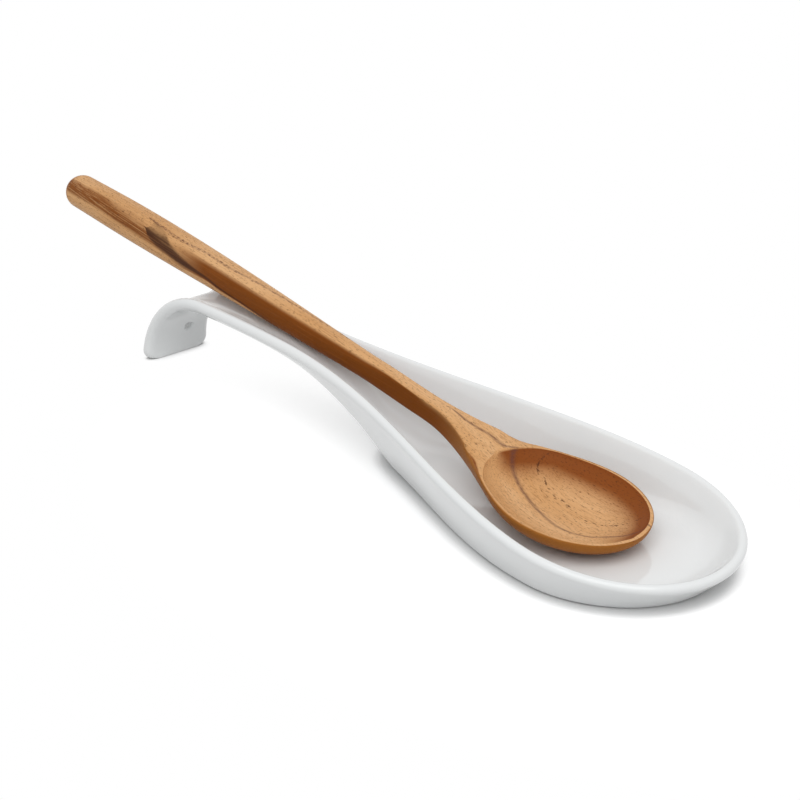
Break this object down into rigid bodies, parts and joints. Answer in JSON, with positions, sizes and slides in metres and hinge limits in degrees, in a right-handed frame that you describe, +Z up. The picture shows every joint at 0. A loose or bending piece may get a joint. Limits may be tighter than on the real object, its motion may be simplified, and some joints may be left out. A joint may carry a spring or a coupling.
{
  "type": "spoon rest",
  "caption": "Teardrop porcelain spoon rest with an arched handle that bends down to a foot, and a carved wooden spoon lying in it.",
  "frame": {"origin": "on the table, in the middle of the flat base, under the widest place of the basin", "axes": "+X towards the tip of the basin, +Z up, the handle and foot along -X"},
  "size_m": [0.3462, 0.081, 0.053],
  "materials": {
    "porcelain": "gloss",
    "wood": "oiled"
  },
  "bodies": {
    "rest": {"rest": "porcelain"},
    "spoon": {"spoon": "wood"}
  },
  "joints": [
    {"name": "spoon_lift", "type": "slide", "parent": "rest", "child": "spoon", "axis": [0, 0, 1], "range_m": [0, 0.12]}
  ]
}
